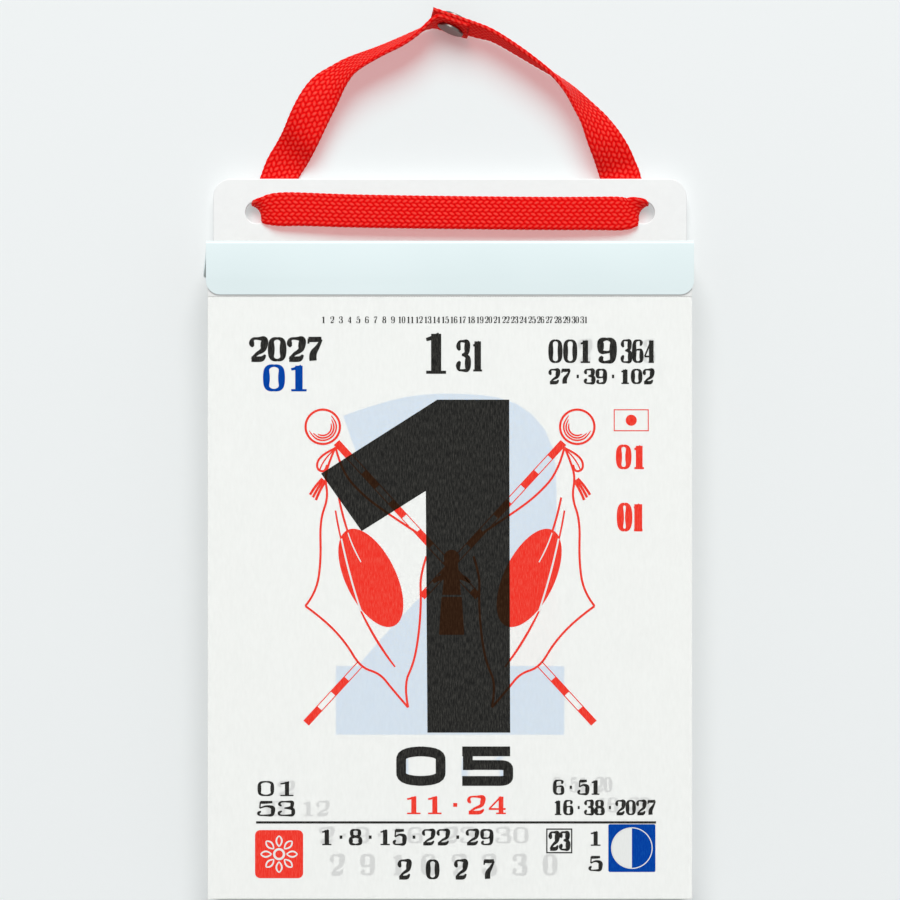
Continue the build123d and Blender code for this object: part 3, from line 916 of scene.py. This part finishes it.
def stamp(red, white):  # red seal with a plain flower of arcs
    fillBox(red, -59.6, -44.9, -178.4, -163.7, 1.6)
    x, y = -52.25, -171.05
    ring(white, x, y, 1.5, 0.7, 32)
    for k in range(8):
        turn = k * math.pi / 4
        spoke = Vector((math.cos(turn), math.sin(turn)))
        side = Vector((-spoke.y, spoke.x))
        tip = Vector((x, y)) + spoke * 5.6
        root = Vector((x, y)) + spoke * 2.3
        for way in (-1, 1):
            belly = Vector((x, y)) + spoke * 4.2 + side * way * 1.7
            penStroke(white, [(*root, 0.35), (*belly, 0.7), (*tip, 0.35)])


pageRows = {  # figures on a page: ink, text, left, right, base, height and weight
    "head": [
        ("black", "2027", -61.1, -38.8, -20.2, 7.0, 1.3), ("blue", "01", -57.0, -43.2, -29.4, 7.9, 1.15),
        ("black", "1", -8.6, -0.4, -24.0, 12.4, 1.0), ("black", "31", 2.2, 10.2, -23.4, 9.4, 0.85),
        ("black", "00{day}", 30.3, 43.2, -20.8, 7.0, 0.95), ("black", "9", 45.4, 50.6, -20.8, 7.4, 1.3),
        ("black", "{left}", 52.4, 62.4, -20.8, 7.0, 0.85), ("black", "27·39·102", 30.3, 62.2, -27.2, 4.4, 1.3),
    ],
    "foot": [
        ("black", "23", 30.4, 36.4, -169.8, 5.6, 1.15), ("black", "1", 42.4, 46.4, -168.4, 4.4, 1.15),
        ("black", "5", 42.4, 46.4, -176.1, 4.4, 1.15), ("black", "0{day}", -59.0, -47.3, -153.2, 4.4, 1.15),
    ],
    "firstDay": [
        ("black", "53", -59.0, -47.3, -159.3, 4.4, 1.15), ("black", "6·51", 31.6, 46.0, -152.8, 4.4, 1.15),
        ("black", "16·38·2027", 31.6, 63.0, -159.0, 4.4, 1.15),
        ("black", "1·8·15·22·29", -39.7, 13.2, -168.2, 4.7, 1.15),
        ("black", "2 0 2 7", -15.8, 13.8, -178.6, 5.8, 1.15),
    ],
    "laterDay": [
        ("black", "53·12", -59.0, -36.9, -159.3, 4.4, 1.15),
        ("black", "6·51·20", 31.6, 49.4, -152.0, 4.4, 1.15),
        ("black", "16·39", 45.0, 61.0, -158.2, 4.4, 1.15),
        ("black", "2·9·16·23·30", -40.0, 24.0, -167.6, 4.7, 1.15),
        ("black", "2 9 1 6 2 3 3 0", -36.5, 32.6, -177.4, 6.2, 1.15),
    ],
    "holiday": [
        ("red", "01", 51.1, 59.7, -53.2, 7.2, 1.15), ("red", "01", 51.6, 59.2, -72.2, 8.4, 1.15),
        ("red", "11·24", -14.0, 17.2, -158.7, 5.4, 1.15),
    ],
}
monthRow = {
    "left": -40.0, "right": 42.3, "base": -8.7, "height": 2.0, "days": 31,
    "halfFigure": 0.54, "spread": 0.08, "weight": 0.8,
}


def writeRows(layers, name, day):
    for ink, text, left, right, base, height, weight in pageRows[name]:
        figures = text.format(day=day, left=365 - day)
        writeNumber(layers[ink], figures, left, right, base, height, weight=weight)


def smallPrint(layers, day):
    black = layers["black"]
    pitch = (monthRow["right"] - monthRow["left"]) / monthRow["days"]
    for k in range(monthRow["days"]):  # one row of the month's days
        number = str(k + 1)
        middle = monthRow["left"] + pitch * (k + 0.5)
        half = monthRow["halfFigure"] * len(number)
        writeNumber(black, number, middle - half, middle + half, monthRow["base"], monthRow["height"],
                    monthRow["spread"], monthRow["weight"])
    writeRows(layers, "head", day)
    fillBox(black, -59.3, 63.0, -161.7, -161.0)
    frameBox(black, 29.6, 37.2, -170.6, -163.4, 0.4)
    writeRows(layers, "foot", day)
    writeRows(layers, "firstDay" if day == 1 else "laterDay", day)


def makePrint(day, inks, node, body, inset):
    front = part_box(node)[0].y + inset * mm
    layers = {name: {"bm": bmesh.new(), "strokes": []} for name in inks}
    black, red, blue, white = (layers[name] for name in ("black", "red", "blue", "white"))
    smallPrint(layers, day)
    moonFace(blue, white)
    stamp(red, white)
    if day == 1:
        crossedFlags(red, white)
        overprint(layers["brown"])
        fillShape(black, bigOne["outline"])
        frameBox(red, 50.2, 60.6, -41.6, -35.2, 0.3)
        disc(red, 55.4, -38.4, 1.7, 1.7)
        writeNumber(black, "05", -17.8, 20.1, -150.1, 11.9, 0.08, pen=3.0)
        writeRows(layers, "holiday", day)
    else:
        big = {2: layers["pale"], 3: red, 4: black}[day]
        writeNumber(big, str(day), -34.9, 36.1, -133.8, 102.8, pen=21.0)
        writeNumber(big, f"0{(day + 4) % 7}", -15.8, 18.0, -149.4, 9.8, 0.1, 0.9)
    for name, ink in layers.items():
        bm = ink["bm"]
        if ink["strokes"]:
            drawStrokes(ink)
        if not bm.faces:
            bm.free()
            continue
        bmesh.ops.recalc_face_normals(bm, faces=bm.faces)
        turned = [face for face in bm.faces if face.normal.z < 0]
        bmesh.ops.reverse_faces(bm, faces=turned)
        place = Matrix.Translation((0, front - inks[name][1] * mm, pageTop))
        place = place @ Matrix.Rotation(math.pi / 2, 4, "X") @ Matrix.Scale(mm, 4)
        bmesh.ops.transform(bm, verts=bm.verts, matrix=place)
        piece = makePiece(f"day_{day}_{name}_print", bm, inks[name][0], body)


inkSet = {
    "red": (printInk("redInk", (250, 52, 40), (255, 98, 82)), 0.002),
    "blue": (printInk("blueInk", (0, 62, 163), (14, 88, 180)), 0.002),
    "pale": (printInk("paleBlueInk", (0, 166, 226), (70, 192, 234)), 0.002),
    "black": (printInk("blackInk", (32, 32, 31), (76, 75, 71)), 0.007),
    "brown": (printInk("overprint", (42, 22, 9), (66, 44, 28)), 0.0125),
    "white": (printInk("bareWindow", (240, 242, 239), (246, 247, 245)), 0.0125),
}
for day in (1, 2, 3):
    makePrint(day, inkSet, f"sheet_day_{day}", f"day_{day}", daySheet["inset"])
makePrint(4, inkSet, "sheets_january", "board", pad["inset"])  # shows when the single sheets are lifted
print("day sheets printed")


# wall, light and camera

stage = {
    "wallY": 6.2 * mm, "wallZ": -0.13, "wallSize": 1.4, "wallTone": (246, 249, 249),
    "eye": (0, -0.837, -0.1324), "lens": 107.3, "sensor": 36, "aim": (0, 0, -0.12),
    "worldLight": 0.38,
    "keyPlace": (0, -4.8, 4.2), "keySize": 4.4, "keyPower": 336.0,
    "rearPlace": (0.8, 4.2, 2.4), "rearSize": 3.0, "rearPower": 110.0,
}


def makeWall():
    bm = bmesh.new()
    place = Matrix.Translation((0, stage["wallY"], stage["wallZ"])) @ Matrix.Rotation(math.pi / 2, 4, "X")
    bmesh.ops.create_grid(bm, x_segments=1, y_segments=1, size=stage["wallSize"] / 2, matrix=place)
    material, tree, shader = startMaterial("paleWall", colour(*stage["wallTone"]), Roughness=0.9)
    clear = addNode(tree, "ShaderNodeBsdfTransparent")
    sides = addNode(tree, "ShaderNodeNewGeometry")
    ray = addNode(tree, "ShaderNodeLightPath")
    passing = addLarger(tree, sides.outputs["Backfacing"], ray.outputs["Is Shadow Ray"])
    passing = addLarger(tree, passing, ray.outputs["Is Diffuse Ray"])
    mixSurface(tree, passing, shader.outputs["BSDF"], clear.outputs["BSDF"])
    makePiece("wall", bm, material)


def makeLight():
    world = bpy.data.worlds.new("studio")
    scene.world = world
    world.use_nodes = True
    tree = world.node_tree
    back = tree.nodes["Background"]
    back.inputs["Color"].default_value = colour(252, 254, 255)
    back.inputs["Strength"].default_value = stage["worldLight"]
    pale = addNode(tree, "ShaderNodeBackground", {"Color": colour(240, 244, 244), "Strength": 1.0})
    ray = addNode(tree, "ShaderNodeLightPath")
    seen = addLarger(tree, ray.outputs["Is Camera Ray"], ray.outputs["Is Glossy Ray"])
    seen = addLarger(tree, seen, ray.outputs["Is Transmission Ray"])
    mixSurface(tree, seen, back.outputs["Background"], pale.outputs["Background"], "World Output")
    for name in ("key", "rear"):  # the rear lamp reaches the back through the wall
        lamp = bpy.data.lights.new(name, "AREA")
        lamp.shape = "DISK"
        lamp.size = stage[name + "Size"]
        lamp.energy = stage[name + "Power"]
        holder = bpy.data.objects.new(name, lamp)
        holder.location = stage[name + "Place"]
        aim = Vector(stage["aim"]) - holder.location
        holder.rotation_euler = aim.to_track_quat("-Z", "Y").to_euler()
        scene.collection.objects.link(holder)


def makeCamera():
    data = bpy.data.cameras.new("camera")
    data.lens = stage["lens"]
    data.sensor_width = stage["sensor"]
    camera = bpy.data.objects.new("camera", data)
    camera.location = stage["eye"]
    camera.rotation_euler = (math.pi / 2, 0, 0)
    scene.collection.objects.link(camera)
    scene.camera = camera


makeWall()
makeLight()
makeCamera()
scene.view_settings.view_transform = "Standard"
print("stage set")
